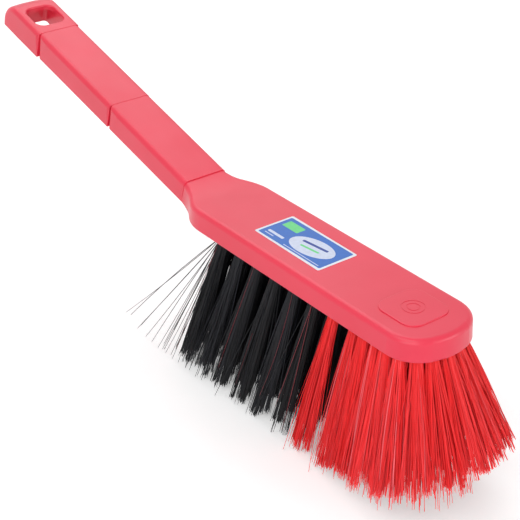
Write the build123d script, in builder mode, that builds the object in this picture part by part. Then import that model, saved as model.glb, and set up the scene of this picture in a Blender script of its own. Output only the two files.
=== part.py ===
"""Hand broom: one moulded stock (head, handle and hanging eye), bristle tufts held by
metal anchors in blind bores, and a printed sticker on the head.

Working frame, in millimetres: +X runs along the head to its nose, +Z is up, the floor
under the bristle tips is Z = 0, and X = 0 is the crease where the handle meets the head.
The pieces are written after a shift along X that puts the origin under the middle of
the whole broom.
"""
from build123d import *
from math import atan2, cos, pi, radians, sin, tan
import os

os.makedirs("parts", exist_ok=True)

# Head
bristle_reach = 77.0
head_thickness = 10.5
head_length = 169.0
head_width = 42.0
head_draft = 2.5
head_edge_radius = 2.6
rim_edge_radius = 0.7
nose_front_radius = 30.0
nose_corner_radius = 16.5
shoulder_length = 28.0
neck_ramp_drop = 0.5
neck_overlap = 9.0

# Handle
handle_length = 175.0
handle_pitch = 14.55
handle_rise = 3.0
neck_width = 24.5
grip_width = 24.6
tip_width = 25.8
step_height = 0.15
step_run = 2.2
notch_run = 9.0
notch_depth = 0.45
first_step_from_tip = 108.0
second_step_from_tip = 38.0
neck_depth = 11.8
tip_depth = 14.6
handle_edge_radius = 2.8
tip_edge_radius = 12.0
tip_crown = 1.2
handle_wall = 2.5
tip_wall = 6.8
pocket_start = 14.0
pocket_corner_radius = 2.0
rib_count = 4
rib_thickness = 1.8
rib_drop = 2.5

# Hanging eye
eye_length = 17.0
eye_width = 16.6
eye_corner_radius = 4.5
eye_mouth_radius = 0.9
eye_to_tip = 14.6

# Pad on the nose
pad_size = 24.0
pad_corner_radius = 6.5
pad_height = 0.5
pad_edge_radius = 0.35
pad_from_nose = 24.2
ring_radii = (4.9, 2.7)
ring_width = 0.5
ring_depth = 0.14

# Sticker
sticker_length = 45.0
sticker_width = 22.0
sticker_corner_radius = 1.0
sticker_thickness = 0.15
sticker_from_neck = 76.0
sticker_aside = -0.4
sticker_turn = -0.5

# Tufts
bore_diameter = 5.0
bore_depth = 8.0
plug_clearance = 0.1
field_start = 37.5
outer_inset = 5.2
middle_inset = 12.6
outer_count = 22
middle_count = 21
centre_count = 10
middle_lead = 6.0
centre_lead = 9.0
black_outer_each_side = 6
black_middle_each_side = 8
red_centre_count = 2

# Strands
strands_round = 7
strand_width = 0.95
strand_ring_radius = 1.7
strand_root = 0.2
tip_ring_radius = 4.2
rear_throw = 27.8
throw_slope = 0.137
flare_start_share = 0.57
nose_throw = 22.0
nose_lift = 10.0
side_throw_share = 0.33
nose_side_throw_share = 0.35
short_strand_share = 0.07
floor_cut = 0.5

# Anchors
anchor_length = 6.0
anchor_height = 2.0
anchor_thickness = 0.4
anchor_clearance = 0.05
fold_thickness = 1.2

# Places worked out from the sizes
first_step_at = handle_length - first_step_from_tip
second_step_at = handle_length - second_step_from_tip
rim_z = bristle_reach
top_z = rim_z + head_thickness
half_width = head_width / 2
pitch = radians(handle_pitch)
neck_half = neck_width / 2
nose_x = head_length
front_centre_x = nose_x - nose_front_radius
corner_rise = half_width - nose_corner_radius
corner_reach = nose_front_radius - nose_corner_radius
corner_centre_x = front_centre_x + (corner_reach**2 - corner_rise**2) ** 0.5
corner_turn = atan2(corner_rise, corner_centre_x - front_centre_x)
pad_x = nose_x - pad_from_nose
anchor_z = rim_z + bore_depth - fold_thickness - anchor_height
slot_width = anchor_thickness + 2 * anchor_clearance
root_z = rim_z + strand_root

# Handle frame: X runs from the crease to the tip along the top of the handle
handle_top = Plane(
    origin=(0, 0, top_z + handle_rise),
    x_dir=(-cos(pitch), 0, sin(pitch)),
    z_dir=(sin(pitch), 0, cos(pitch)),
)
handle_way = Axis(handle_top.origin, handle_top.x_dir)
handle_normal = Axis(handle_top.origin, handle_top.z_dir)
depth_slope = (tip_depth - neck_depth) / handle_length
handle_under = Plane(
    origin=handle_top.from_local_coords((0, 0, -neck_depth)),
    x_dir=handle_top.x_dir - handle_top.z_dir * depth_slope,
    z_dir=handle_top.z_dir + handle_top.x_dir * depth_slope,
)
rib_pitch = (second_step_at - pocket_start) / rib_count
pocket_end = handle_length - tip_crown - tip_wall
pocket_width = neck_width - 2 * handle_wall
eye_centre = handle_length - eye_to_tip - eye_length / 2
tip_lift = 2 * step_height


def nose_point(inset, angle):
    """A point of the nose outline, moved inwards by inset, at an angle round the nose."""
    if abs(angle) <= corner_turn:
        radius = nose_front_radius - inset
        return (front_centre_x + radius * cos(angle), radius * sin(angle))
    side = 1 if angle > 0 else -1
    radius = nose_corner_radius - inset
    return (
        corner_centre_x + radius * cos(angle),
        side * corner_rise + radius * sin(angle),
    )


def row_point(inset, start_x, distance):
    """The point at a distance along a row that goes up one side, round the nose and back."""
    side_run = corner_centre_x - start_x
    corner_run = (nose_corner_radius - inset) * (pi / 2 - corner_turn)
    front_run = (nose_front_radius - inset) * corner_turn
    half_run = side_run + corner_run + front_run
    side = -1 if distance < half_run else 1
    along = distance if side < 0 else 2 * half_run - distance
    if along <= side_run:
        return (start_x + along, side * (half_width - inset))
    if along <= side_run + corner_run:
        angle = pi / 2 - (along - side_run) / (nose_corner_radius - inset)
    else:
        angle = (half_run - along) / (nose_front_radius - inset)
    return nose_point(inset, side * angle)


def row_length(inset, start_x):
    side_run = corner_centre_x - start_x
    corner_run = (nose_corner_radius - inset) * (pi / 2 - corner_turn)
    front_run = (nose_front_radius - inset) * corner_turn
    return 2 * (side_run + corner_run + front_run)


def row_places(inset, start_x, count):
    step = row_length(inset, start_x) / (count - 1)
    return [row_point(inset, start_x, step * number) for number in range(count)]


# Tuft places: a row round the outline, a row inside it and a line down the middle.
# The inner rows start further back than the outer one.
outer_places = row_places(outer_inset, field_start, outer_count)
middle_places = row_places(middle_inset, field_start - middle_lead, middle_count)
centre_start = field_start - centre_lead
centre_pitch = (pad_x - centre_start) / (centre_count - 1)
centre_places = [(centre_start + centre_pitch * number, 0) for number in range(centre_count)]
red_places = outer_places[black_outer_each_side:-black_outer_each_side]
red_places += middle_places[black_middle_each_side:-black_middle_each_side]
red_places += centre_places[-red_centre_count:]
tuft_places = outer_places + middle_places + centre_places
black_places = [place for place in tuft_places if place not in red_places]
field_length = nose_x - outer_inset - field_start


def lean(place):
    """How far the tips of a tuft lie from its root, and above the floor: the bristles fan out."""
    along = (place[0] - field_start) / field_length
    flare = max(0, along - flare_start_share) / (1 - flare_start_share)
    throw = throw_slope * (place[0] - field_start) - rear_throw + nose_throw * flare
    spread = side_throw_share + nose_side_throw_share * flare
    return (throw, spread * place[1], nose_lift * flare)


# Head outline in plan: nose, sides and the shoulders that run into the neck
def head_outline():
    shoulder_shift = half_width - neck_half
    shoulder_end_x = shoulder_length - neck_overlap / 2
    neck_x = shoulder_end_x - shoulder_length
    middle_x = (shoulder_end_x + neck_x) / 2
    middle_y = -(half_width + neck_half) / 2
    shoulder_turn = 2 * atan2(shoulder_shift, shoulder_length)
    with BuildLine() as half:
        Line((-neck_overlap, 0), (-neck_overlap, -neck_half))
        Line((-neck_overlap, -neck_half), (neck_x, -neck_half))
        TangentArc((neck_x, -neck_half), (middle_x, middle_y), tangent=(1, 0))
        TangentArc(
            (middle_x, middle_y),
            (shoulder_end_x, -half_width),
            tangent=(cos(shoulder_turn), -sin(shoulder_turn)),
        )
        Line((shoulder_end_x, -half_width), (corner_centre_x, -half_width))
        corner_end = nose_point(0, -corner_turn)
        TangentArc((corner_centre_x, -half_width), corner_end, tangent=(1, 0))
        TangentArc(corner_end, (nose_x, 0), tangent=(sin(corner_turn), cos(corner_turn)))
        mirror(about=Plane.XZ)
    return half.line


# Side view of the head: flat, then a gentle ramp up to the crease at the neck
def head_profile():
    crease_z = top_z + handle_rise - neck_ramp_drop
    ramp_run = (crease_z - top_z) / tan(pitch / 2)
    back_top_z = crease_z + neck_overlap * tan(pitch)
    under_x = -neck_depth * sin(pitch)
    under_z = top_z + handle_rise - neck_depth * cos(pitch)
    back_under_z = under_z + (neck_overlap + under_x) * tan(pitch)
    foot_x = under_x + (under_z - rim_z) / tan(pitch)
    with BuildLine() as side:
        Line((nose_x, rim_z), (nose_x, top_z))
        Line((nose_x, top_z), (ramp_run, top_z))
        TangentArc((ramp_run, top_z), (0, crease_z), tangent=(-1, 0))
        Line((0, crease_z), (-neck_overlap, back_top_z))
        Line((-neck_overlap, back_top_z), (-neck_overlap, back_under_z))
        Line((-neck_overlap, back_under_z), (foot_x, rim_z))
        Line((foot_x, rim_z), (nose_x, rim_z))
    return side.line


with BuildPart() as head:
    with BuildSketch(Plane.XY.offset(rim_z)):
        add(head_outline())
        make_face()
    extrude(amount=2 * head_thickness, taper=head_draft)
    with BuildSketch(Plane.XZ.offset(-half_width)):
        add(head_profile())
        make_face()
    extrude(amount=head_width, mode=Mode.INTERSECT)
    upper_edges = head.edges().filter_by(lambda edge: edge.center().Z > top_z - rim_edge_radius)
    outer_edges = upper_edges.filter_by(
        lambda edge: abs(edge.center().Y) > rim_edge_radius or edge.center().X > pad_x
    )
    fillet(
        outer_edges.filter_by(lambda edge: edge.center().X > rim_edge_radius - neck_overlap),
        radius=head_edge_radius,
    )
    rim_edges = head.edges().filter_by(Plane.XY).group_by(Axis.Z)[0]
    fillet(rim_edges.filter_by(lambda edge: edge.center().X > shoulder_length / 2), rim_edge_radius)


# The handle is three lengths, set off from each other by a shallow notch at each side
def side_facet(edge_x, joint_x, half, depth, side):
    """The plane of one notch flank: deepest at the joint on top, gone at the underside."""
    edge = handle_top.from_local_coords(Vector(edge_x, side * half, 0))
    joint = handle_top.from_local_coords(Vector(joint_x, side * (half - depth), 0))
    foot = handle_top.from_local_coords(Vector(joint_x, side * half, -tip_depth))
    normal = (joint - edge).cross(foot - edge)
    inward = handle_top.y_dir * -side
    return Plane(origin=edge, x_dir=joint - edge, z_dir=normal if normal.dot(inward) > 0 else -normal)


def is_upper_side(place, start, half):
    """Whether a place is on one side face, clear of its lower edge and its near end."""
    is_upper = place.Z > rim_edge_radius - tip_depth
    return is_upper and abs(place.Y) > half - notch_depth and place.X > start + notch_depth


def handle_run(start, end, width, height):
    """One length of the handle, with its upper edges rounded along its run."""
    half = width / 2
    plane = handle_top.offset(height)
    is_tip = end == handle_length
    with BuildPart() as run:
        with BuildSketch(plane):
            with BuildLine():
                Polyline((end - tip_crown, half), (start, half), (start, -half), (end - tip_crown, -half))
                if is_tip:
                    ThreePointArc((end - tip_crown, -half), (end, 0), (end - tip_crown, half))
                else:
                    Polyline((end - tip_crown, -half), (end, -half), (end, half), (end - tip_crown, half))
            make_face()
        extrude(amount=-tip_depth)
        top_edges = run.faces().sort_by(handle_normal)[-1].edges().sort_by(handle_way)
        if is_tip:
            fillet(top_edges[-1], tip_edge_radius)
        side_edges = run.edges().filter_by(
            lambda edge: is_upper_side(handle_top.to_local_coords(edge.center()), start, half)
        )
        fillet(side_edges, handle_edge_radius)
        for side in (-1, 1):
            if start > 0:
                entry_depth = half - joint_halves[start]
                split(bisect_by=side_facet(start + step_run, start, half, entry_depth, side), keep=Keep.TOP)
            if not is_tip:
                exit_depth = half - joint_halves[end]
                split(bisect_by=side_facet(end - notch_run, end, half, exit_depth, side), keep=Keep.TOP)
    return run.part


joint_halves = {
    first_step_at: neck_width / 2 - notch_depth,
    second_step_at: grip_width / 2 - notch_depth,
}
handle_runs = [
    handle_run(0, first_step_at, neck_width, 0),
    handle_run(first_step_at, second_step_at, grip_width, step_height),
    handle_run(second_step_at, handle_length, tip_width, 2 * step_height),
]


def is_at_eye(edge):
    place = handle_top.to_local_coords(edge.center())
    is_along = abs(place.X - eye_centre) < (eye_length + eye_mouth_radius) / 2
    return is_along and abs(place.Y) < eye_width / 2 + eye_mouth_radius


# Ribs across the hollow of the handle, a little short of its underside
with BuildPart() as ribs:
    with BuildSketch(handle_top.offset(-handle_wall / 2)):
        for number in range(rib_count):
            with Locations((pocket_start + rib_pitch * (number + 1), 0)):
                Rectangle(rib_thickness, pocket_width + handle_wall)
    extrude(amount=-tip_depth)
    split(bisect_by=handle_under.offset(rib_drop), keep=Keep.TOP)

# Handle: the three lengths, hollow from below, with the ribs and the hanging eye
with BuildPart() as handle:
    add(handle_runs)
    split(bisect_by=handle_under, keep=Keep.TOP)
    with BuildSketch(handle_top.offset(-handle_wall)):
        with Locations(((pocket_start + pocket_end) / 2, 0)):
            RectangleRounded(pocket_end - pocket_start, pocket_width, pocket_corner_radius)
    extrude(amount=-tip_depth, mode=Mode.SUBTRACT)
    add(ribs.part)
    with BuildSketch(handle_top.offset(tip_lift)):
        with Locations((eye_centre, 0)):
            RectangleRounded(eye_length, eye_width, eye_corner_radius)
    extrude(amount=-tip_depth, mode=Mode.SUBTRACT)
    mouth_edges = handle.edges().filter_by(is_at_eye).group_by(handle_normal)[-1]
    fillet(mouth_edges, eye_mouth_radius)

# Stock: the head and the handle as one moulding, with the pad and the tuft bores
with BuildPart() as stock:
    add(head.part)
    add(handle.part)
    with BuildSketch(Plane.XY.offset(top_z)):
        with Locations((pad_x, 0)):
            RectangleRounded(pad_size, pad_size, pad_corner_radius)
    extrude(amount=pad_height)
    fillet(stock.faces(Select.LAST).sort_by(Axis.Z)[-1].edges(), pad_edge_radius)
    with BuildSketch(Plane.XY.offset(top_z + pad_height)):
        with Locations((pad_x, 0)):
            for radius in ring_radii:
                Circle(radius + ring_width / 2)
                Circle(radius - ring_width / 2, mode=Mode.SUBTRACT)
    extrude(amount=-ring_depth, mode=Mode.SUBTRACT)
    with BuildSketch(Plane.XY.offset(rim_z)):
        with Locations(tuft_places):
            Circle(bore_diameter / 2)
    extrude(amount=bore_depth, mode=Mode.SUBTRACT)
    with BuildSketch(Plane.XY.offset(anchor_z - anchor_clearance)):
        with Locations(tuft_places):
            Rectangle(anchor_length + 2 * anchor_clearance, slot_width)
    extrude(amount=anchor_height + 2 * anchor_clearance, mode=Mode.SUBTRACT)

# Sticker on the flat of the head
with BuildPart() as sticker:
    with BuildSketch(Plane.XY.offset(top_z)):
        with Locations(Location((sticker_from_neck, sticker_aside), sticker_turn)):
            RectangleRounded(sticker_length, sticker_width, sticker_corner_radius)
    extrude(amount=sticker_thickness)

# Anchors: one flat strip of metal across each bore, all in one group
with BuildPart() as anchors:
    with BuildSketch(Plane.XY.offset(anchor_z)):
        with Locations(tuft_places):
            Rectangle(anchor_length, anchor_thickness)
    extrude(amount=anchor_height)


def make_tuft(place):
    """A plug of folded strands in its bore, and the strands that fan out below it."""
    throw = lean(place)
    with BuildPart() as tuft:
        with BuildSketch(Plane.XY.offset(rim_z)):
            with Locations(place):
                Circle(bore_diameter / 2 - plug_clearance)
        extrude(amount=bore_depth)
        with BuildSketch(Plane.XY.offset(anchor_z - anchor_clearance)):
            with Locations(place):
                Rectangle(2 * bore_diameter, slot_width)
        extrude(amount=anchor_height + 2 * anchor_clearance, mode=Mode.SUBTRACT)
        strands = []
        for number in range(strands_round + 1):
            turn = 2 * pi * number / strands_round
            is_middle = number == strands_round
            root_radius = 0 if is_middle else strand_ring_radius
            tip_radius = 0 if is_middle else tip_ring_radius
            root = Vector(place[0] + root_radius * cos(turn), place[1] + root_radius * sin(turn), root_z)
            tip_z = throw[2] + bristle_reach * short_strand_share * (number % 3) / 2
            if tip_z == 0:
                tip_z = -floor_cut
            tip = Vector(
                place[0] + throw[0] + tip_radius * cos(turn),
                place[1] + throw[1] + tip_radius * sin(turn),
                tip_z,
            )
            with BuildSketch(Plane.XY.offset(root_z), mode=Mode.PRIVATE) as foot:
                with Locations((root.X, root.Y)):
                    Rectangle(strand_width, strand_width)
            strands.append(
                extrude(foot.sketch, (tip - root).length, dir=tip - root, mode=Mode.PRIVATE)
            )
        add(strands)
        split(bisect_by=Plane.XY, keep=Keep.TOP)
    return tuft.part


pieces = {"stock": stock.part, "sticker": sticker.part, "tuft_anchors": anchors.part}
for colour, places in (("black", black_places), ("red", red_places)):
    for number, place in enumerate(places, start=1):
        pieces[f"{colour}_tuft_{number:02d}"] = make_tuft(place)

# The origin goes under the middle of the whole broom
boxes = [piece.bounding_box() for piece in pieces.values()]
back_x = min(box.min.X for box in boxes)
front_x = max(box.max.X for box in boxes)
shift_x = -(back_x + front_x) / 2
for name, piece in pieces.items():
    placed = Pos(shift_x, 0, 0) * piece
    placed.label = name
    export_step(placed, f"parts/{name}.step")
print("broom length", front_x - back_x, "shift along X", shift_x)
print("black", len(black_places), "red", len(red_places), "strands", len(tuft_places) * (strands_round + 1))
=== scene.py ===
import math

import bpy
import numpy as np
from mathutils import Matrix, Vector


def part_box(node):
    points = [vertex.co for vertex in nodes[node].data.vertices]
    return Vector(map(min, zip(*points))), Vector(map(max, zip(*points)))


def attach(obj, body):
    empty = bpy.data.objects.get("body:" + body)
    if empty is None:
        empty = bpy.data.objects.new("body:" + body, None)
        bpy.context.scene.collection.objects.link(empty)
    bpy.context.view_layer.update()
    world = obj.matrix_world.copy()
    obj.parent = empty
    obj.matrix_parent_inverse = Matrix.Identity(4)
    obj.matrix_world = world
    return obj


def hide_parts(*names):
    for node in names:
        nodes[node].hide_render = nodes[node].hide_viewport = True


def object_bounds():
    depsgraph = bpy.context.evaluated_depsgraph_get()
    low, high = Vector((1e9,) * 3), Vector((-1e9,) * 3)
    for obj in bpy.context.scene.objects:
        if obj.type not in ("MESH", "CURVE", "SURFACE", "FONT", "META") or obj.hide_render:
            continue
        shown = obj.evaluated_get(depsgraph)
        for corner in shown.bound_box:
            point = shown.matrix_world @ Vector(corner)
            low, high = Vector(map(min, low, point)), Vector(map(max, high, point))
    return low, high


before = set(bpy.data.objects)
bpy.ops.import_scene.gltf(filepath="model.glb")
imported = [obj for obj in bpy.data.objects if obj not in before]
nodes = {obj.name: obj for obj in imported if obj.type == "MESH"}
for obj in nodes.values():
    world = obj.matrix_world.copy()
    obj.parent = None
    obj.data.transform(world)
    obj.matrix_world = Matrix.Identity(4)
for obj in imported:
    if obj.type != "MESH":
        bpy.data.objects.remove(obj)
cad_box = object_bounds()
MM = 0.001

# Places read from the frame
stock_low, stock_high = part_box("stock")
sticker_low, sticker_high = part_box("sticker")
rim_z = stock_low.z
label_x = (sticker_low.x + sticker_high.x) / 2
label_y = (sticker_low.y + sticker_high.y) / 2
nose_centre = np.array([stock_high.x - stock_high.y, 0.0])
tuft_names = sorted(name for name in nodes if "_tuft_" in name)

# Camera: its place from the head's top under the sticker's middle, and the way it is turned
CAMERA_OFFSET = Vector((0.3989, -0.3320, 0.2897))
CAMERA_RIGHT = Vector((0.6093, 0.7929, 0.0))
CAMERA_BACK = Vector((0.687, -0.528, 0.499)).normalized()
LENS = 93.46
SENSOR_WIDTH = 36.0
CLIP_START = 0.01
CLIP_END = 50.0

# Noise textures give most of their values between these two
NOISE_LOW = 0.3
NOISE_HIGH = 0.7

# Strand meshes: three-sided tubes of five parts, a little thinner at the tip
STRAND_SIDES = 3
STRAND_PARTS = 5
STRAND_TAPER = 0.25
TAPER_POWER = 4
RADIUS_SHARES = (0.85, 1.15)

# No strand runs this way, so the corners of its rings are turned from it
SIDE_GUIDE = np.array([0.31, 0.95, 0.05])

# Tufts: how many strands and clumps, how much these pull together and vary, and the fan along the head
BLACK_TUFT = {"count": 180, "clumps": 6, "pull": 0.72, "ragged": 0.05, "short": 0.12, "along": 5.6 * MM}
THIN_TUFT = {"count": 110, "clumps": 7, "pull": 0.8, "ragged": 0.06, "short": 0.3, "along": 6.2 * MM}
RED_TUFT = {"count": 230, "clumps": 9, "pull": 0.6, "ragged": 0.036, "short": 0.08, "along": 7.0 * MM}
FAN_ACROSS = 5.0 * MM
NOSE_FAN = 7.6 * MM
BRISTLE_RADIUS = 0.17 * MM
OUTER_ROOT_RADIUS = 2.25 * MM
INNER_ROOT_RADIUS = 3.7 * MM
ROOT_DEPTH = 2.0 * MM
PLUG_HEIGHT = 1.0 * MM
BULGE = 0.6 * MM
WAVER = 0.7 * MM

# Scatter of the tips, as shares of the fan, and trim, as shares of a strand's length
SCATTER = 0.16
LOOSE_SHARE = 0.05
LOOSE_SCATTER = 0.8
TRIM = 0.016
SHORT_TRIM = (0.02, 0.14)
OVERREACH = 0.03
OVERREACH_HEIGHT = 8.0 * MM
UNBENT_SHARE = 0.12
TONE_MIDDLES = (0.25, 0.58)
TONE_SPREAD = 0.2

# Shading: how much of it follows the bundle, which faces outward, towards the nose and aside
BUNDLE_SHARE = 0.6
DISC_FACING = 0.9
NOSE_FACING = 1.2
SIDE_FACING = 1 / (16.0 * MM)

# The nose: where its tufts begin, which are in the outer row, and how they are bent
NOSE_LENGTH = 20.0 * MM
NOSE_BLEND = 24.0 * MM
OUTER_ROW_REACH = 12.0 * MM
NOSE_LIFT = 4.5 * MM
CORNER_SPLAY = np.array([8.0, 5.0, 12.0]) * MM
CORNER_LENGTH = 34.0 * MM
CORNER_BLEND = 24.0 * MM
CORNER_SIDE_Y = -18.0 * MM
CORNER_SIDE_BLEND = 22.0 * MM

# The worn black tufts: the side they are on, and how near they are to the end of their rows
WORN_SIDE_Y = -4.0 * MM
WORN_BEFORE = 8.0 * MM
WORN_AFTER = 4.0 * MM

# Limits for the strands: the box of the CAD model with a little room
ROOM_BEHIND = 6.0 * MM
ROOM_AHEAD = 8.0 * MM
ROOM_ASIDE = 1.2 * MM
FLOOR_GAP = 0.3 * MM
lowest = np.array([cad_box[0][0] - ROOM_BEHIND, cad_box[0][1] - ROOM_ASIDE, FLOOR_GAP])
highest = np.array([cad_box[1][0] + ROOM_AHEAD, cad_box[1][1] + ROOM_ASIDE, rim_z])

# Long strays: the way of each in full from its root, in millimetres, and the share that is kept
LONG_STRAYS = [
    (-77.6, -13.2, -78.5, 0.90), (-75.0, -13.0, -80.0, 0.88), (-63.4, -13.2, -80.4, 0.93),
    (-62.0, -12.8, -79.0, 0.91), (-54.0, -13.0, -79.8, 0.95), (-47.0, -13.2, -78.6, 0.96),
    (-40.1, -13.2, -77.4, 0.98), (-38.0, -12.4, -77.0, 0.94), (-35.9, -13.2, -81.8, 0.93),
    (-29.0, -13.0, -80.5, 0.95), (-23.4, -12.6, -78.6, 0.97),
]

# Their common root, from that of the rearmost near tuft at the rim, in millimetres
LONG_STRAY_ROOT = (-1.2, -0.4, 1.0)

# Short strays: how many, and how far back and aside they are thrown and end up, in millimetres
SHORT_STRAYS = 60
SHORT_THROW = 18.0
MORE_THROW = 26.0
THROW_SHAPE = (1.1, 2.6)
SHORT_ROOT_SHIFT = 2.0
SHORT_ASIDE = (3.0, 12.0)
SHORT_HEIGHT = (0.5, 9.0)
STRAY_RADIUS = 0.19 * MM
STRAY_WAVER = 0.9 * MM
STRAY_TONES = (0.2, 1.0)

# Red strays painted dark as shade: the near tuft each starts at, and its throw and height in
# millimetres
DARK_STRAYS = [
    (0, -29.0, 5.0), (2, -20.0, 14.0), (3, -17.5, 12.0),
    (4, -14.5, 16.0), (5, -15.0, 18.0), (5, -9.0, 8.0),
]
DARK_ROOT_SHIFT = 1.5
DARK_ROOT_ASIDE = 2.0
DARK_ASIDE = (7.0, 9.5)
DARK_RADIUS = 0.13 * MM

# Seeds of the random draws
TUFT_SEED = 100
THROW_SEED = 7
STRAY_SEED = 11
DARK_SEED = 12

# Sticker's print: the thickness of a panel of ink, and the lean of the oval and its bars
INK_THICKNESS = 0.02 * MM
OVAL_LEAN = 0.12
CORNER_STEPS = 6
OVAL_STEPS = 48

# Stage, in metres: the floor glows more further out, and the world lights at a plain level
FLOOR_REACH = 8.0
FLOOR_DROP = 0.1 * MM
GLOW_START = 0.7
GLOW_END = 3.0
GLOW_NEAR = 0.36
GLOW_FAR = 0.64
WORLD_LEVEL = 0.49
SEEN_WORLD_LEVEL = 1.0


def photo_camera():
    """The camera that shows the broom from the photograph's angle."""
    up = CAMERA_BACK.cross(CAMERA_RIGHT).normalized()
    right = up.cross(CAMERA_BACK)
    data = bpy.data.cameras.new("camera")
    data.lens = LENS
    data.sensor_width = SENSOR_WIDTH
    data.sensor_fit = "HORIZONTAL"
    data.clip_start = CLIP_START
    data.clip_end = CLIP_END
    camera = bpy.data.objects.new("camera", data)
    bpy.context.scene.collection.objects.link(camera)
    turn = Matrix((right, up, CAMERA_BACK)).transposed()
    place = Vector((label_x, 0.0, sticker_low.z)) + CAMERA_OFFSET
    camera.matrix_world = Matrix.Translation(place) @ turn.to_4x4()
    bpy.context.scene.camera = camera


# Node helpers
def new_material(name):
    material = bpy.data.materials.new(name)
    material.use_nodes = True
    tree = material.node_tree
    return material, tree, tree.nodes["Principled BSDF"]


def object_place(tree, stretch=(1.0, 1.0, 1.0)):
    """Where a point is on its object, with each axis scaled: a low scale draws the pattern out."""
    where = tree.nodes.new("ShaderNodeTexCoord").outputs["Object"]
    mapping = tree.nodes.new("ShaderNodeMapping")
    mapping.inputs["Scale"].default_value = stretch
    tree.links.new(where, mapping.inputs["Vector"])
    return mapping.outputs["Vector"]


def noise_node(tree, vector, scale, detail=2.0):
    node = tree.nodes.new("ShaderNodeTexNoise")
    node.inputs["Scale"].default_value = scale
    node.inputs["Detail"].default_value = detail
    tree.links.new(vector, node.inputs["Vector"])
    return node.outputs["Fac"]


def ramp_node(tree, factor, stops):
    node = tree.nodes.new("ShaderNodeValToRGB")
    ramp = node.color_ramp
    while len(ramp.elements) < len(stops):
        ramp.elements.new(0.5)
    for element, (position, colour) in zip(ramp.elements, stops):
        element.position = position
        element.color = (*colour, 1.0)
    tree.links.new(factor, node.inputs["Fac"])
    return node.outputs["Color"]


def two_tone(tree, noise, dark, pale):
    return ramp_node(tree, noise, [(NOISE_LOW, dark), (NOISE_HIGH, pale)])


def range_node(tree, factor, low, high, start=NOISE_LOW, end=NOISE_HIGH):
    """Goes from low to high while the factor goes from start to end."""
    node = tree.nodes.new("ShaderNodeMapRange")
    node.inputs["From Min"].default_value = start
    node.inputs["From Max"].default_value = end
    node.inputs["To Min"].default_value = low
    node.inputs["To Max"].default_value = high
    tree.links.new(factor, node.inputs["Value"])
    return node.outputs["Result"]


def bump_node(tree, height, strength, distance):
    node = tree.nodes.new("ShaderNodeBump")
    node.inputs["Strength"].default_value = strength
    node.inputs["Distance"].default_value = distance
    tree.links.new(height, node.inputs["Height"])
    return node.outputs["Normal"]


def math_node(tree, operation, first, second):
    node = tree.nodes.new("ShaderNodeMath")
    node.operation = operation
    tree.links.new(first, node.inputs[0])
    tree.links.new(second, node.inputs[1])
    return node.outputs["Value"]


def finish_shader(tree, shader, colour, roughness, normal, specular=0.5):
    tree.links.new(colour, shader.inputs["Base Color"])
    tree.links.new(roughness, shader.inputs["Roughness"])
    tree.links.new(normal, shader.inputs["Normal"])
    shader.inputs["Specular IOR Level"].default_value = specular


def linear(red, green, blue):
    """An sRGB colour, 0 to 255, as linear numbers."""
    shares = [value / 255 for value in (red, green, blue)]
    return tuple(s / 12.92 if s <= 0.04045 else ((s + 0.055) / 1.055) ** 2.4 for s in shares)


# Materials of the object
def stock_plastic():
    """Moulded red plastic: a faint mottle, uneven gloss and a fine grain."""
    material, tree, shader = new_material("stock_plastic")
    where = object_place(tree)
    mottle = noise_node(tree, where, scale=38.0)
    waves = noise_node(tree, where, scale=90.0, detail=1.0)
    grain = noise_node(tree, where, scale=2600.0)
    colour = two_tone(tree, mottle, dark=linear(225, 46, 71), pale=linear(230, 51, 77))
    roughness = range_node(tree, waves, low=0.29, high=0.35)
    normal = bump_node(tree, grain, strength=0.16, distance=0.06 * MM)
    finish_shader(tree, shader, colour, roughness, normal)
    return material


def anchor_steel():
    """Steel strip, brushed along its length."""
    material, tree, shader = new_material("anchor_steel")
    where = object_place(tree, stretch=(0.08, 1.0, 1.0))
    brush = noise_node(tree, where, scale=3200.0, detail=3.0)
    colour = two_tone(tree, brush, dark=linear(168, 168, 172), pale=linear(196, 197, 200))
    roughness = range_node(tree, brush, low=0.28, high=0.42)
    normal = bump_node(tree, brush, strength=0.2, distance=0.04 * MM)
    finish_shader(tree, shader, colour, roughness, normal)
    shader.inputs["Metallic"].default_value = 1.0
    return material


def print_ink(name, red, green, blue):
    """Printed film: one colour of ink with a faint mottle."""
    material, tree, shader = new_material(name)
    mottle = noise_node(tree, object_place(tree), scale=700.0)
    dark = linear(*(value * 0.97 for value in (red, green, blue)))
    pale = linear(*(min(value * 1.02, 255) for value in (red, green, blue)))
    colour = two_tone(tree, mottle, dark, pale)
    roughness = range_node(tree, mottle, low=0.28, high=0.38)
    normal = bump_node(tree, mottle, strength=0.08, distance=0.03 * MM)
    finish_shader(tree, shader, colour, roughness, normal, specular=0.36)
    return material


def bristle_plastic(name, stops, roughness, specular):
    """Drawn plastic, coloured by each strand's own tone and flecked along its length."""
    material, tree, shader = new_material(name)
    tone = tree.nodes.new("ShaderNodeAttribute")
    tone.attribute_name = "tone"
    fleck = noise_node(tree, object_place(tree, stretch=(1.0, 1.0, 0.25)), scale=420.0)
    colour = ramp_node(tree, tone.outputs["Fac"], stops)
    rough = range_node(tree, fleck, *roughness)
    normal = bump_node(tree, fleck, strength=0.2, distance=0.05 * MM)
    finish_shader(tree, shader, colour, rough, normal, specular)
    return material


def black_bristle():
    # Each strand's black varies at random; the palest, blue-grey stop is a painted glint on the few
    # strands whose tone reaches it
    stops = [
        (0.0, linear(8, 9, 13)),
        (0.55, linear(14, 15, 21)),
        (0.9, linear(26, 28, 38)),
        (1.0, linear(54, 56, 70)),
    ]
    return bristle_plastic("black_bristle", stops, roughness=(0.4, 0.55), specular=0.34)


def red_bristle():
    # Each strand's red varies at random; the palest, pink stop is a painted highlight on the few
    # strands whose tone reaches it
    stops = [
        (0.0, linear(240, 24, 26)),
        (0.35, linear(253, 40, 43)),
        (0.8, linear(255, 60, 65)),
        (1.0, linear(255, 124, 134)),
    ]
    return bristle_plastic("red_bristle", stops, roughness=(0.38, 0.52), specular=0.34)


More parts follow.
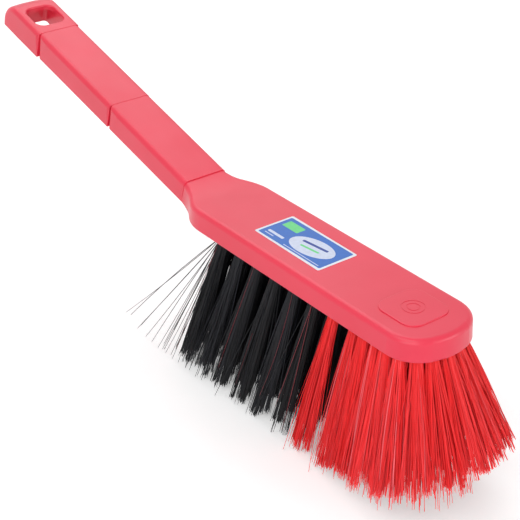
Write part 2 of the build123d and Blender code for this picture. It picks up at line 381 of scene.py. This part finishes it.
def shaded_red_bristle():
    # Red bristle plastic painted dark as shade, for the red strands among the black
    stops = [
        (0.0, linear(84, 18, 26)),
        (0.6, linear(112, 26, 36)),
        (1.0, linear(164, 70, 80)),
    ]
    return bristle_plastic("shaded_red_bristle", stops, roughness=(0.36, 0.5), specular=0.5)


def dress(node, material):
    for slot in nodes[node].material_slots:
        slot.material = material


# Meshes
def add_mesh(name, points, faces, material):
    mesh = bpy.data.meshes.new(name)
    mesh.from_pydata(points, [], faces)
    mesh.materials.append(material)
    mesh.update()
    piece = bpy.data.objects.new(name, mesh)
    bpy.context.scene.collection.objects.link(piece)
    return piece


def strand_points(arcs, radii):
    """The points of each strand's rings, and the way that each corner of a ring faces."""
    run = np.linspace(0.0, 1.0, STRAND_PARTS + 1)
    starts = ((1 - run) ** 2)[:, None] * arcs[:, None, 0]
    middles = (2 * run * (1 - run))[:, None] * arcs[:, None, 1]
    ends = (run ** 2)[:, None] * arcs[:, None, 2]
    centres = starts + middles + ends
    ahead = arcs[:, 2] - arcs[:, 0]
    ahead /= np.linalg.norm(ahead, axis=1, keepdims=True)
    side_way = np.cross(ahead, SIDE_GUIDE)
    side_way /= np.linalg.norm(side_way, axis=1, keepdims=True)
    other_way = np.cross(ahead, side_way)
    angles = 2 * math.pi * (np.arange(STRAND_SIDES) + 0.5) / STRAND_SIDES
    cosines = np.cos(angles)[:, None]
    sines = np.sin(angles)[:, None]
    facing = side_way[:, None] * cosines + other_way[:, None] * sines
    widths = radii[:, None] * (1 - STRAND_TAPER * run ** TAPER_POWER)
    points = centres[:, :, None] + facing[:, None] * widths[:, :, None, None]
    return points.reshape(-1, 3), facing


def strand_faces(count, per_strand):
    """The sides of every strand, then its two end caps."""
    corners = np.arange(STRAND_SIDES)
    following = (corners + 1) % STRAND_SIDES
    low = np.arange(STRAND_PARTS)[:, None] * STRAND_SIDES
    high = low + STRAND_SIDES
    sides = np.stack([low + corners, low + following, high + following, high + corners], axis=-1)
    starts = np.arange(count)[:, None] * per_strand
    quads = (sides.reshape(-1, 4)[None] + starts[:, None]).reshape(-1, 4)
    first_caps = corners[::-1] + starts
    last_caps = corners + STRAND_PARTS * STRAND_SIDES + starts
    return quads.tolist() + first_caps.tolist() + last_caps.tolist()


def strand_mesh(name, arcs, radii, tones, material, outward=None):
    """Strands along arcs of three control points, shaded partly along outward where it is given."""
    arcs = np.asarray(arcs, float)
    count = len(arcs)
    per_strand = (STRAND_PARTS + 1) * STRAND_SIDES
    points, facing = strand_points(arcs, np.asarray(radii, float))
    piece = add_mesh(name, points.tolist(), strand_faces(count, per_strand), material)
    mesh = piece.data
    mesh.polygons.foreach_set("use_smooth", np.ones(len(mesh.polygons), bool))
    attribute = mesh.attributes.new("tone", "FLOAT", "POINT")
    attribute.data.foreach_set("value", np.repeat(np.asarray(tones, np.float32), per_strand))
    mesh.update()
    if outward is not None:
        own = np.repeat(facing[:, None], STRAND_PARTS + 1, axis=1).reshape(-1, 3)
        normals = own * (1 - BUNDLE_SHARE) + np.repeat(outward, per_strand, axis=0) * BUNDLE_SHARE
        normals /= np.linalg.norm(normals, axis=1, keepdims=True)
        mesh.normals_split_custom_set_from_vertices(normals.tolist())
    return piece


# Places of the tufts
def tuft_places(node):
    """Centre of the tuft in its bore, and the middle of its tips, from the CAD node."""
    mesh = nodes[node].data
    points = np.empty(len(mesh.vertices) * 3)
    mesh.vertices.foreach_get("co", points)
    points = points.reshape(-1, 3)
    plug = points[points[:, 2] > rim_z + PLUG_HEIGHT]
    tips = points[points[:, 2] < rim_z / 2]
    root = (plug.min(0) + plug.max(0)) / 2
    tip = (tips.min(0) + tips.max(0)) / 2
    return np.array([root[0], root[1], rim_z]), np.array([tip[0], tip[1], tips[:, 2].min()])


def share_of(value, start, length):
    """How far a value is along a stretch, from 0 at its start to 1 at its end."""
    return np.clip((value - start) / length, 0, 1)


def nose_share(root):
    """How far along towards the nose a tuft is, from 0 on the straight sides to 1."""
    return share_of(root[0], nose_centre[0] - NOSE_LENGTH, NOSE_BLEND)


def nose_bend(root):
    """How far the tips of a tuft are bent up round the nose, and out at its worn far corner."""
    along = share_of(root[0], stock_high.x - CORNER_LENGTH, CORNER_BLEND)
    aside = share_of(root[1], CORNER_SIDE_Y, CORNER_SIDE_BLEND)
    lift = np.array([0.0, 0.0, NOSE_LIFT * nose_share(root)])
    return CORNER_SPLAY * along * aside + lift


def root_radius(root):
    """The outer bundles are slim at the rim, and the inner ones close the view between them."""
    reach = root[:2] - nose_centre
    aside = abs(reach[1]) if reach[0] < 0 else np.linalg.norm(reach)
    return OUTER_ROOT_RADIUS if aside > OUTER_ROW_REACH else INNER_ROOT_RADIUS


def between(first, second):
    """The place half way between two, as far from the nose's centre as they are on average."""
    middle = (first + second) / 2
    way = middle[:2] - nose_centre
    reaches = [np.linalg.norm(place[:2] - nose_centre) for place in (first, second)]
    way *= sum(reaches) / 2 / np.linalg.norm(way)
    return np.array([*(nose_centre + way), middle[2]])


def nose_bundles():
    """Bundles that fill the gaps of the outer row round the nose, for the tuft before each gap."""
    row = []
    for name in tuft_names:
        root, tip = tuft_places(name)
        reach = root[:2] - nose_centre
        if np.linalg.norm(reach) < OUTER_ROW_REACH or reach[0] < -NOSE_LENGTH:
            continue
        row.append((math.atan2(reach[1], reach[0]), name, root, tip))
    row.sort(key=lambda entry: entry[0])
    bundles = {}
    for (_, name, root, tip), (_, _, next_root, next_tip) in zip(row, row[1:]):
        bundles[name] = (between(root, next_root), between(tip, next_tip))
    return bundles


def worn_tufts():
    """The worn tufts beside the first red one: the last black ones of the two near rows."""
    rows = {}
    for name in tuft_names:
        root = tuft_places(name)[0]
        if name.startswith("black") and root[1] < WORN_SIDE_Y:
            rows.setdefault(round(root[1] / MM), []).append((root[0], name))
    lists = [sorted(row) for row in rows.values()]
    end = min(row[-1][0] for row in lists)
    return {name for row in lists for x, name in row if -WORN_BEFORE < x - end < WORN_AFTER}


# Strands of the tufts
def random_disc(chance, count):
    """Points spread evenly over a disc of radius 1."""
    reach = np.sqrt(chance.uniform(0, 1, count))
    angle = chance.uniform(0, 2 * math.pi, count)
    return np.stack([reach * np.cos(angle), reach * np.sin(angle)], axis=1)


def bundle_strands(chance, root, tip, look):
    """One bundle of strands that starts packed in its bore and fans out to its tips."""
    count = look["count"]
    disc = random_disc(chance, count)
    starts = np.empty((count, 3))
    starts[:, :2] = root[:2] + disc * root_radius(root)
    starts[:, 2] = rim_z + ROOT_DEPTH

    clumps = random_disc(chance, look["clumps"])
    nearest = ((disc[:, None] - clumps[None]) ** 2).sum(2).argmin(1)
    spread = disc + (clumps[nearest] - disc) * look["pull"]
    spread += chance.normal(0, SCATTER, (count, 2))
    loose = chance.uniform(0, 1, count) < LOOSE_SHARE
    spread[loose] += chance.normal(0, LOOSE_SCATTER, (loose.sum(), 2))
    side_fan = np.array([look["along"], FAN_ACROSS])
    fan = side_fan + (NOSE_FAN - side_fan) * nose_share(root)
    ends = np.empty((count, 3))
    ends[:, :2] = tip[:2] + spread * fan
    ends[:, 2] = tip[2]
    bent = chance.uniform(0, 1, count) > UNBENT_SHARE
    ends[bent] += nose_bend(root)

    trim = np.abs(chance.normal(0, TRIM, count))
    short = chance.uniform(0, 1, count) < look["short"]
    trim[short] += chance.uniform(*SHORT_TRIM, short.sum())
    clump_trim = np.abs(chance.normal(0, look["ragged"], look["clumps"]))
    trim += clump_trim[nearest] - OVERREACH * np.clip(1 - tip[2] / OVERREACH_HEIGHT, 0, 1)
    ends = starts + (ends - starts) * (1 - trim)[:, None]
    ends = np.clip(ends, lowest, highest)
    middles = (starts + ends) / 2
    middles[:, :2] += chance.normal(0, WAVER, (count, 2)) + disc * BULGE

    tones = np.clip(chance.normal(chance.uniform(*TONE_MIDDLES), TONE_SPREAD, count), 0, 1)
    radii = BRISTLE_RADIUS * chance.uniform(*RADIUS_SHARES, count)
    outward = np.zeros((count, 3))
    outward[:, :2] = disc * DISC_FACING
    outward[:, 0] += NOSE_FACING * nose_share(root)
    outward[:, 1] += SIDE_FACING * root[1]
    outward /= np.linalg.norm(outward, axis=1, keepdims=True)
    return np.stack([starts, middles, ends], axis=1), radii, tones, outward


def dress_tufts(black, red):
    """Each tuft's strands, in one piece with those of the bundle that fills the gap after it."""
    gap_bundles = nose_bundles()
    worn_names = worn_tufts()
    for number, name in enumerate(tuft_names):
        is_red = name.startswith("red")
        chance = np.random.RandomState(TUFT_SEED + number)
        look = RED_TUFT if is_red else THIN_TUFT if name in worn_names else BLACK_TUFT
        places = [tuft_places(name)]
        if name in gap_bundles:
            places.append(gap_bundles[name])
        bundles = [bundle_strands(chance, root, tip, look) for root, tip in places]
        arcs, radii, tones, outward = [np.concatenate(group) for group in zip(*bundles)]
        piece = strand_mesh(name + "_strands", arcs, radii, tones, red if is_red else black, outward)
        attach(piece, "root")
        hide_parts(name)


# Stray bristles: bent far out behind the rear tufts, and red ones among the black, painted dark as
# shade
def stray_strands(name, strays, radius, seed, material):
    """Each stray is a root place and a tip place, in millimetres."""
    chance = np.random.RandomState(seed)
    arcs, radii, tones = [], [], []
    for root, tip in strays:
        start = np.array([root[0] * MM, root[1] * MM, rim_z + ROOT_DEPTH])
        end = np.clip(np.array(tip) * MM, lowest, highest)
        middle = (start + end) / 2 + chance.normal(0, STRAY_WAVER, 3)
        arcs.append((start, middle, end))
        radii.append(radius * chance.uniform(*RADIUS_SHARES))
        tones.append(chance.uniform(*STRAY_TONES))
    piece = strand_mesh(name, arcs, radii, tones, material)
    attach(piece, "root")


def near_black_roots():
    """Roots of the black tufts in the near outer row, from the rear, in millimetres."""
    names = [name for name in tuft_names if name.startswith("black")]
    roots = sorted((tuft_places(name)[0] / MM).round(2).tolist() for name in names)
    return [root for root in roots if root[1] < -OUTER_ROW_REACH / MM]


def long_strays(rear_root):
    strays = []
    for back, aside, down, share in LONG_STRAYS:
        root = (rear_root[0] + LONG_STRAY_ROOT[0], rear_root[1] + LONG_STRAY_ROOT[1])
        tip_z = rim_z / MM + LONG_STRAY_ROOT[2] + down * share
        strays.append((root, (root[0] + back * share, root[1] + aside * share, tip_z)))
    return strays


def short_strays(chance, near_roots):
    """They start at the two rearmost near tufts by turns."""
    strays = []
    for number in range(SHORT_STRAYS):
        source = near_roots[number % 2]
        throw = SHORT_THROW + MORE_THROW * chance.beta(*THROW_SHAPE)
        shift = chance.uniform(-SHORT_ROOT_SHIFT, SHORT_ROOT_SHIFT, 2)
        root = (source[0] + shift[0], source[1] + shift[1])
        tip_y = root[1] - chance.uniform(*SHORT_ASIDE)
        strays.append((root, (root[0] - throw, tip_y, chance.uniform(*SHORT_HEIGHT))))
    return strays


def dark_strays(chance, near_roots):
    strays = []
    for number, throw, height in DARK_STRAYS:
        source = near_roots[number]
        shift = chance.uniform(-DARK_ROOT_SHIFT, DARK_ROOT_SHIFT)
        root = (source[0] + shift, source[1] - DARK_ROOT_ASIDE)
        strays.append((root, (root[0] + throw, root[1] - chance.uniform(*DARK_ASIDE), height)))
    return strays


def add_strays(black, dark_red):
    near_roots = near_black_roots()
    chance = np.random.RandomState(THROW_SEED)
    rear = long_strays(near_roots[0]) + short_strays(chance, near_roots)
    dark = dark_strays(chance, near_roots)
    stray_strands("rear_stray_bristles", rear, STRAY_RADIUS, STRAY_SEED, black)
    # The red strays among the black get red plastic with painted shade
    stray_strands("dark_red_bristles", dark, DARK_RADIUS, DARK_SEED, dark_red)


# Printed design of the sticker: thin raised panels in a plain layout
def rounded_outline(width, height, corner):
    points = []
    for sign_x, sign_y, start in ((1, 1, 0), (-1, 1, 90), (-1, -1, 180), (1, -1, 270)):
        for step in range(CORNER_STEPS + 1):
            angle = math.radians(start + 90 * step / CORNER_STEPS)
            x = sign_x * (width / 2 - corner) + corner * math.cos(angle)
            y = sign_y * (height / 2 - corner) + corner * math.sin(angle)
            points.append((x, y))
    return points


def oval_outline(width, height):
    turns = [2 * math.pi * step / OVAL_STEPS for step in range(OVAL_STEPS)]
    return [(width / 2 * math.cos(turn), height / 2 * math.sin(turn)) for turn in turns]


def panel(name, ink, outline, centre, layer, lean=0.0):
    """A panel of ink in its layer: centre and outline are in millimetres from the sticker's middle."""
    base = sticker_high.z + (layer - 1) * INK_THICKNESS
    spun = []
    for x, y in outline:
        spun_x = x * math.cos(lean) - y * math.sin(lean)
        spun_y = x * math.sin(lean) + y * math.cos(lean)
        spun.append((label_x + (centre[0] + spun_x) * MM, label_y + (centre[1] + spun_y) * MM))
    points = [(x, y, base) for x, y in spun]
    points += [(x, y, base + INK_THICKNESS) for x, y in spun]
    count = len(outline)
    faces = [tuple(range(count))[::-1], tuple(range(count, 2 * count))]
    for corner in range(count):
        following = (corner + 1) % count
        faces.append((corner, following, count + following, count + corner))
    piece = add_mesh(name, points, faces, ink)
    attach(piece, "root")


def print_design():
    """On blue: an oval with two bars, a green patch, a pale bar and two thin lines."""
    blue = print_ink("blue_ink", 40, 104, 192)
    pale = print_ink("pale_ink", 206, 214, 236)
    green = print_ink("green_ink", 104, 212, 132)
    deep = print_ink("deep_blue_ink", 24, 60, 150)
    panel("print_blue_field", blue, rounded_outline(42.6, 19.6, corner=0.8), (0, 0), layer=1)
    panel("print_pale_oval", pale, oval_outline(25.0, 13.6), (5.5, -0.6), layer=2, lean=OVAL_LEAN)
    panel("print_green_patch", green, rounded_outline(10.5, 5.4, corner=0.6), (-13.8, 4.8), layer=2)
    panel("print_pale_bar", pale, rounded_outline(10.5, 1.6, corner=0.5), (-13.8, -5.4), layer=2)
    deep_band = rounded_outline(15.0, 1.5, corner=0.5)
    panel("print_deep_band", deep, deep_band, (5.5, 1.4), layer=3, lean=OVAL_LEAN)
    green_band = rounded_outline(11.0, 1.2, corner=0.4)
    panel("print_green_band", green, green_band, (5.8, -2.2), layer=3, lean=OVAL_LEAN)
    panel("print_lower_line", pale, rounded_outline(24.0, 0.4, corner=0.15), (7.4, -8.6), layer=2)
    panel("print_left_line", pale, rounded_outline(6.0, 0.5, corner=0.2), (-16.0, -7.6), layer=2)


# Floor, world and lights
def seen_rays(tree):
    """1 for camera, mirror and transmission rays, which see a white surround, and 0 for the rest."""
    rays = tree.nodes.new("ShaderNodeLightPath").outputs
    direct = math_node(tree, "MAXIMUM", rays["Is Camera Ray"], rays["Is Glossy Ray"])
    return math_node(tree, "MAXIMUM", direct, rays["Is Transmission Ray"])


def stage_floor():
    material, tree, shader = new_material("floor_paper")
    where = object_place(tree)
    fibre = noise_node(tree, where, scale=60.0)
    colour = two_tone(tree, fibre, dark=(0.80, 0.80, 0.80), pale=(0.82, 0.82, 0.82))
    reach = tree.nodes.new("ShaderNodeVectorMath")
    reach.operation = "LENGTH"
    tree.links.new(where, reach.inputs[0])
    level = range_node(tree, reach.outputs["Value"], GLOW_NEAR, GLOW_FAR, GLOW_START, GLOW_END)
    glow = math_node(tree, "MULTIPLY", seen_rays(tree), level)
    tree.links.new(colour, shader.inputs["Base Color"])
    tree.links.new(glow, shader.inputs["Emission Strength"])
    shader.inputs["Emission Color"].default_value = (1, 1, 1, 1)
    shader.inputs["Roughness"].default_value = 0.9
    shader.inputs["Specular IOR Level"].default_value = 0.1
    signs = ((-1, -1), (1, -1), (1, 1), (-1, 1))
    corners = [(x * FLOOR_REACH, y * FLOOR_REACH, 0) for x, y in signs]
    floor = add_mesh("floor", corners, [(0, 1, 2, 3)], material)
    floor.location.z = -FLOOR_DROP


def studio_world():
    world = bpy.data.worlds.new("studio")
    bpy.context.scene.world = world
    world.use_nodes = True
    tree = world.node_tree
    background = tree.nodes["Background"]
    background.inputs["Color"].default_value = (1, 1, 1, 1)
    level = range_node(tree, seen_rays(tree), WORLD_LEVEL, SEEN_WORLD_LEVEL, start=0.0, end=1.0)
    tree.links.new(level, background.inputs["Strength"])


def soft_light(name, place, size, level):
    """An area light that gives a surface facing it this share of a plain level."""
    way = Vector(place) - Vector((0.0, 0.0, rim_z))
    data = bpy.data.lights.new(name, "AREA")
    data.shape = "RECTANGLE"
    data.size, data.size_y = size
    data.energy = math.pi ** 2 * way.length ** 2 * level
    light = bpy.data.objects.new(name, data)
    light.location = place
    light.rotation_euler = way.to_track_quat("Z", "Y").to_euler()
    bpy.context.scene.collection.objects.link(light)


photo_camera()
dress("stock", stock_plastic())
dress("sticker", print_ink("sticker_border", 226, 232, 240))
dress("tuft_anchors", anchor_steel())
black_material = black_bristle()
dress_tufts(black_material, red_bristle())
add_strays(black_material, shaded_red_bristle())
print_design()
stage_floor()
studio_world()
soft_light("top_softbox", place=(-0.9, 0.25, 1.35), size=(1.4, 1.2), level=0.34)
soft_light("key_softbox", place=(0.3, -0.88, 1.4), size=(1.6, 0.1), level=0.26)
soft_light("front_softbox", place=(0.85, -1.2, 0.45), size=(1.2, 0.9), level=0.3)
soft_light("nose_softbox", place=(1.1, 0.55, 0.3), size=(0.7, 0.5), level=0.22)
bpy.context.scene.view_settings.view_transform = "Standard"
